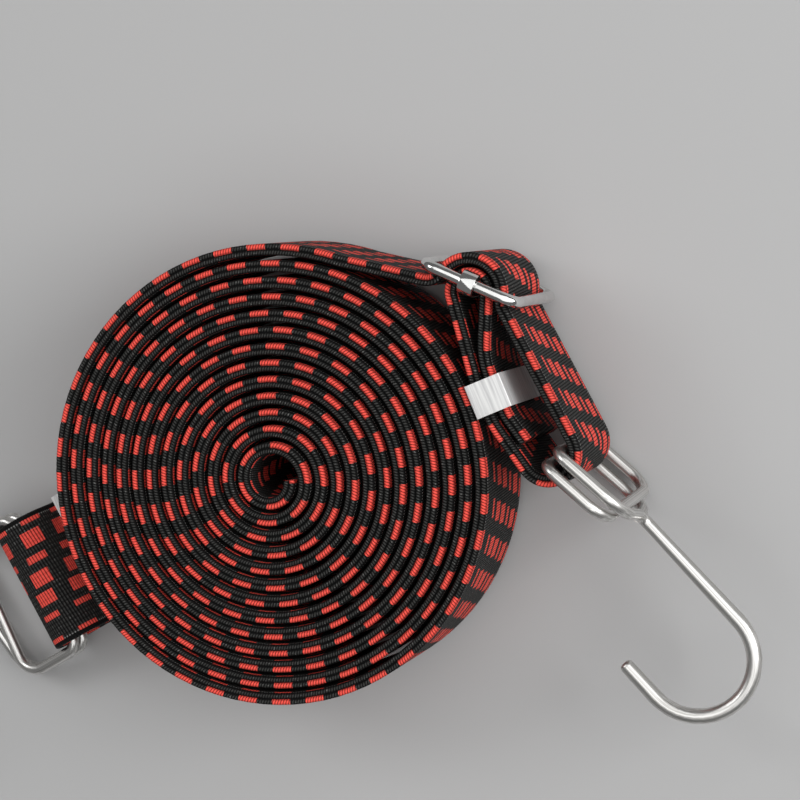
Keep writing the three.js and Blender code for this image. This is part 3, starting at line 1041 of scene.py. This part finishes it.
# The cord's two ends
@dataclass
class Cord:
    """The whole cord: the roll, its outer end through the buckle to a hook, and its inner end to another."""

    webbing: Webbing = Webbing()
    roll: Roll = Roll()
    hook: Hook = Hook()
    buckle: Buckle = Buckle()
    clip: Clip = Clip()
    # the outer end in plan, from the axis of the roll
    buckle_at: Vector = field(default_factory=lambda: Vector((52.2, 50.1)) * MM)
    buckle_angle: float = -22.3
    loop_clip_at: Vector = field(default_factory=lambda: Vector((56.8, 22.6)) * MM)
    loop_clip_angle: float = -66.8
    outer_fold_at: Vector = field(default_factory=lambda: Vector((71.4, 8.8)) * MM)
    hook_right_angle: float = -40.0
    loop_cut_end: Vector = field(default_factory=lambda: Vector((65.8, 11.6)) * MM)
    clip_bend: float = 20 * MM
    loop_end_bend: float = 12 * MM
    # the inner end, along its own line under the roll
    tail_angle: float = 210.0
    tail_offset: float = 8.8 * MM
    tail_start: float = -25 * MM
    tail_rise_at: float = 20 * MM
    tail_rise_end: float = 46 * MM
    tail_rise_bend: float = 60 * MM
    tail_gap: float = 0.6 * MM
    tail_cut_end: float = 0.6 * MM
    tail_clip_back: float = 10.5 * MM
    tail_tuck_bend: float = 3.2 * MM
    hook_left_gap: float = 0.1 * MM

    def __post_init__(self) -> None:
        """Finds the roll's axis and the strap's middle height from the frame."""
        low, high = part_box("loop_clip")
        middle = (low + high) / 2
        self.axis = middle.xy - self.loop_clip_at
        self.mid_height = middle.z

    def on_edge(self, at: Vector, across: float) -> Vector:
        """Places a point of the plan, with a distance above the strap's middle."""
        return Vector((*(self.axis + at), self.mid_height + across))

    def upright(self, at: Vector, degrees: float) -> Matrix:
        """The place of a piece that stands on edge at a point of the plan, turned about it."""
        return Matrix.Translation(self.on_edge(at, 0)) @ Matrix.Rotation(math.radians(degrees), 4, "Z")

    def outer_route(self) -> list[Station]:
        """Leads the strap out of the roll, through the buckle, round the hook and back to its cut end.

        Returns:
            The stations in plan.
        """
        web, buckle = self.webbing, self.buckle
        rails, rails_up = polar(self.buckle_angle), polar(self.buckle_angle + 90)
        reach, around = buckle.reach(web), buckle.round_middle_bar(web)
        middle_bar = self.buckle_at - rails_up * buckle.roll_radius
        down, across = polar(self.loop_clip_angle), polar(self.loop_clip_angle + 90)

        def beside(end: int, layer: int, bend: float) -> Vector:
            """The centre of the bend that starts or ends at the clip."""
            edge = self.loop_clip_at + down * (end * self.clip.length / 2)
            return edge + across * (layer * web.layer_pitch / 2 + bend)

        spiral = self.roll.route()
        bends = [
            (self.buckle_at - rails * reach, buckle.round_end_bar(web)),
            (middle_bar, -(around + web.layer_pitch)),
            (self.buckle_at + rails * reach, buckle.round_end_bar(web)),
            (self.outer_fold_at, -self.hook.fold_radius),
            (beside(1, -1, self.clip_bend), -self.clip_bend),
            (beside(-1, -1, self.clip_bend), -self.clip_bend),
            (middle_bar, -around),
            (beside(-1, 1, self.clip_bend), self.clip_bend),
            (beside(1, 1, self.loop_end_bend), self.loop_end_bend),
        ]
        return spiral[:-1] + belt_route(spiral[-1].at, bends, self.loop_cut_end, web.bend_step)

    @property
    def tail_place(self) -> Matrix:
        """The frame of the inner end: x out along it and z up."""
        side = polar(self.tail_angle - 90) * self.tail_offset
        at = Matrix.Translation((*(self.axis + side), 0))
        return at @ Matrix.Rotation(math.radians(self.tail_angle), 4, "Z")

    @property
    def tail_low(self) -> float:
        """The height of the strap's middle on the table."""
        return self.webbing.thickness / 2

    @property
    def tail_high(self) -> float:
        """Its height in the clip, whose wall passes under it."""
        return self.tail_low + self.clip.gap + self.clip.wall

    @property
    def tail_cut(self) -> float:
        """Where the folded end is cut, just outside the roll."""
        return self.roll.outer_radius(self.webbing) + self.tail_gap

    @property
    def tail_clip_end(self) -> float:
        """The outer end of the inner end's clip."""
        return self.tail_cut + self.tail_cut_end + self.clip.length

    @property
    def tail_fold(self) -> Vector:
        """The centre of the inner end's fold, out and up."""
        return Vector((self.tail_clip_end + self.tail_clip_back, self.tail_high + self.hook.fold_radius))

    def inner_route(self) -> list[Station]:
        """Leads the strap flat out from under the roll, round the hook and back into the clip.

        Returns:
            The stations, out and up.
        """
        back = self.tail_high + self.webbing.layer_pitch
        bends = [
            (Vector((self.tail_rise_at, self.tail_low + self.tail_rise_bend)), self.tail_rise_bend),
            (Vector((self.tail_rise_end, self.tail_high - self.tail_rise_bend)), -self.tail_rise_bend),
            (self.tail_fold, self.hook.fold_radius),
            (Vector((self.tail_clip_end, back + self.tail_tuck_bend)), -self.tail_tuck_bend),
        ]
        start = Vector((self.tail_start, self.tail_low))
        return belt_route(start, bends, Vector((self.tail_cut, back)), self.webbing.bend_step)

    @property
    def left_pitch(self) -> float:
        """How far the left hook hangs down before its shank lies on the table."""
        shank = self.hook.shank_length * polar(self.hook.shank_set)
        along = self.hook.neck + shank.x
        drop = self.tail_fold.y - self.hook.j_wire - self.hook_left_gap
        return math.atan2(shank.y, along) + math.asin(drop / math.hypot(along, shank.y))

    def dress_strap(self, material: Material) -> None:
        """Args:
            material: The webbing's finish.
        """
        outer = self.webbing.strap("strap_outer", self.outer_route(), self.on_edge, self.roll.sway)
        finish(outer, Body.STRAP, Slot.WEBBING, material, "strap_coil", "strap_lead")
        tail = self.tail_place
        inner = self.webbing.strap(
            "strap_inner", self.inner_route(), lambda at, across: tail @ Vector((at.x, across, at.y))
        )
        finish(inner, Body.STRAP, Slot.WEBBING, material, "strap_tail", "strap_tail_loop")

    def dress_hooks(self, material: Material) -> None:
        """Models one hook and places it and its copy.

        Args:
            material: The hooks' finish.
        """
        right = self.hook.build(self.webbing)
        left = twin(right, "left_hook_wire")
        right.name = "right_hook_wire"
        bars = self.outer_fold_at + polar(self.hook_right_angle) * self.hook.fold_seat
        settle(right, self.upright(bars, self.hook_right_angle))
        seat = Matrix.Translation((self.tail_fold.x + self.hook.fold_seat, 0, self.tail_fold.y))
        hang = Matrix.Rotation(self.left_pitch, 4, "Y") @ Matrix.Rotation(-math.pi / 2, 4, "X")
        settle(left, self.tail_place @ seat @ hang)
        finish(right, Body.RIGHT_HOOK, Slot.HOOK, material, "hook_right")
        finish(left, Body.LEFT_HOOK, Slot.HOOK, material, "hook_left")

    def dress_buckle(self, material: Material) -> None:
        """Models and places the buckle.

        Args:
            material: The buckle's finish.
        """
        wire = self.buckle.build_frame(self.webbing)
        bar = self.buckle.build_bar(self.webbing)
        for piece in (wire, bar):
            settle(piece, self.upright(self.buckle_at, self.buckle_angle))
        finish(wire, Body.FRAME, Slot.BUCKLE, material, "buckle_frame")
        finish(bar, Body.BAR, Slot.BUCKLE, material, "buckle_bar")

    def dress_clips(self, material: Material) -> None:
        """Models and places the two clips.

        Args:
            material: The clips' finish.
        """
        loop = self.clip.build("loop_clip_band", self.webbing)
        tail = twin(loop, "tail_clip_band")
        settle(loop, self.upright(self.loop_clip_at, self.loop_clip_angle))
        height = self.tail_high + self.webbing.layer_pitch / 2
        seat = Matrix.Translation((self.tail_clip_end - self.clip.length / 2, 0, height))
        settle(tail, self.tail_place @ seat @ Matrix.Rotation(math.pi / 2, 4, "X"))
        finish(loop, Body.STRAP, Slot.CLIP, material, "loop_clip")
        finish(tail, Body.STRAP, Slot.CLIP, material, "tail_clip")


# The studio
@dataclass(frozen=True)
class Lamp:
    """A soft square light that shines at the part's origin, in metres and watts."""

    name: str
    at: tuple[float, float, float]
    size: float
    power: float


@dataclass(frozen=True)
class Studio:
    """The floor, the lights and the photograph's camera."""

    floor_colour: Colour = (0.44, 0.44, 0.44, 1)
    floor_roughness: float = 0.9
    floor_size: float = 6.0
    world_strength: float = 0.16
    lamps: tuple[Lamp, ...] = (
        Lamp("overhead", (0.35, 0.1, 0.9), 1.6, 10.0),
        Lamp("key", (-0.6, 0.35, 0.7), 0.35, 2.0),
        Lamp("right", (1.0, 0.2, 0.55), 0.6, 6.0),
    )
    camera_at: tuple[float, ...] = (0.21952, 0.07888, 0.62977)
    camera_right: tuple[float, ...] = (0.9585, 0.0, -0.285)
    camera_up: tuple[float, ...] = (-0.0238, 0.9965, -0.08)
    lens: float = 112.5  # millimetres, as the sensor
    sensor: float = 36.0
    clip_range: tuple[float, float] = (0.01, 20.0)

    def build(self) -> None:
        """Sets the stage round the part."""
        self.lay_floor()
        self.light()
        self.aim()
        bpy.context.scene.view_settings.view_transform = "Standard"

    def lay_floor(self) -> None:
        """Lays the floor on the table's plane."""
        deselect()
        bpy.ops.mesh.primitive_plane_add(size=self.floor_size)
        floor = bpy.context.object
        floor.name = "floor"
        paint = bpy.data.materials.new("pale_floor")
        paint.use_nodes = True
        shader = paint.node_tree.nodes["Principled BSDF"]
        shader.inputs["Base Color"].default_value = self.floor_colour
        shader.inputs["Roughness"].default_value = self.floor_roughness
        floor.data.materials.append(paint)

    def light(self) -> None:
        """Hangs the lamps and sets the world."""
        for lamp in self.lamps:
            data = bpy.data.lights.new(lamp.name, "AREA")
            data.size = lamp.size
            data.energy = lamp.power
            made = bpy.data.objects.new(lamp.name, data)
            made.location = lamp.at
            made.rotation_euler = (-Vector(lamp.at)).to_track_quat("-Z", "Y").to_euler()
            bpy.context.scene.collection.objects.link(made)
        world = bpy.data.worlds.new("studio")
        world.use_nodes = True
        background = world.node_tree.nodes["Background"]
        background.inputs["Color"].default_value = (1, 1, 1, 1)
        background.inputs["Strength"].default_value = self.world_strength
        bpy.context.scene.world = world

    def aim(self) -> None:
        """Sets up the camera at the photograph's view."""
        data = bpy.data.cameras.new("photograph")
        data.lens = self.lens
        data.sensor_width = self.sensor
        data.clip_start, data.clip_end = self.clip_range
        camera = bpy.data.objects.new("photograph", data)
        right, up = Vector(self.camera_right), Vector(self.camera_up)
        turn = Matrix((right, up, right.cross(up))).transposed().to_4x4()
        camera.matrix_world = Matrix.Translation(self.camera_at) @ turn
        bpy.context.scene.collection.objects.link(camera)
        bpy.context.scene.camera = camera


STEEL = MetalFinish(
    name="satin_steel",
    colour=(0.82, 0.81, 0.79, 1),
    dull=(0.5, 0.49, 0.47, 1),
    roughness=0.28,
    dull_roughness=0.4,
    mark_depth=0.006 * MM,
    drawn=True,
    heat=(0.2, 0.13, 0.085, 1),
)
CHROME = MetalFinish(
    name="bright_plating",
    colour=(0.76, 0.76, 0.75, 1),
    dull=(0.62, 0.62, 0.61, 1),
    roughness=0.08,
    dull_roughness=0.18,
    mark_depth=0.004 * MM,
)
ALUMINIUM = MetalFinish(
    name="brushed_aluminium",
    colour=(0.8, 0.8, 0.79, 1),
    dull=(0.6, 0.6, 0.6, 1),
    roughness=0.55,
    dull_roughness=0.75,
    mark_depth=0.02 * MM,
    metallic=0.4,
    brushed_at=Cord.loop_clip_angle,
)


def main() -> None:
    """Builds the part over its frame, then the studio."""
    logging.basicConfig(level=logging.INFO, format="%(name)s %(message)s")
    marks = handling_group()
    cord = Cord()
    cord.dress_strap(WebbingFinish().material())
    cord.dress_clips(ALUMINIUM.material(marks))
    cord.dress_buckle(CHROME.material(marks))
    cord.dress_hooks(STEEL.material(marks))
    Studio().build()


if __name__ == "__main__":
    main()
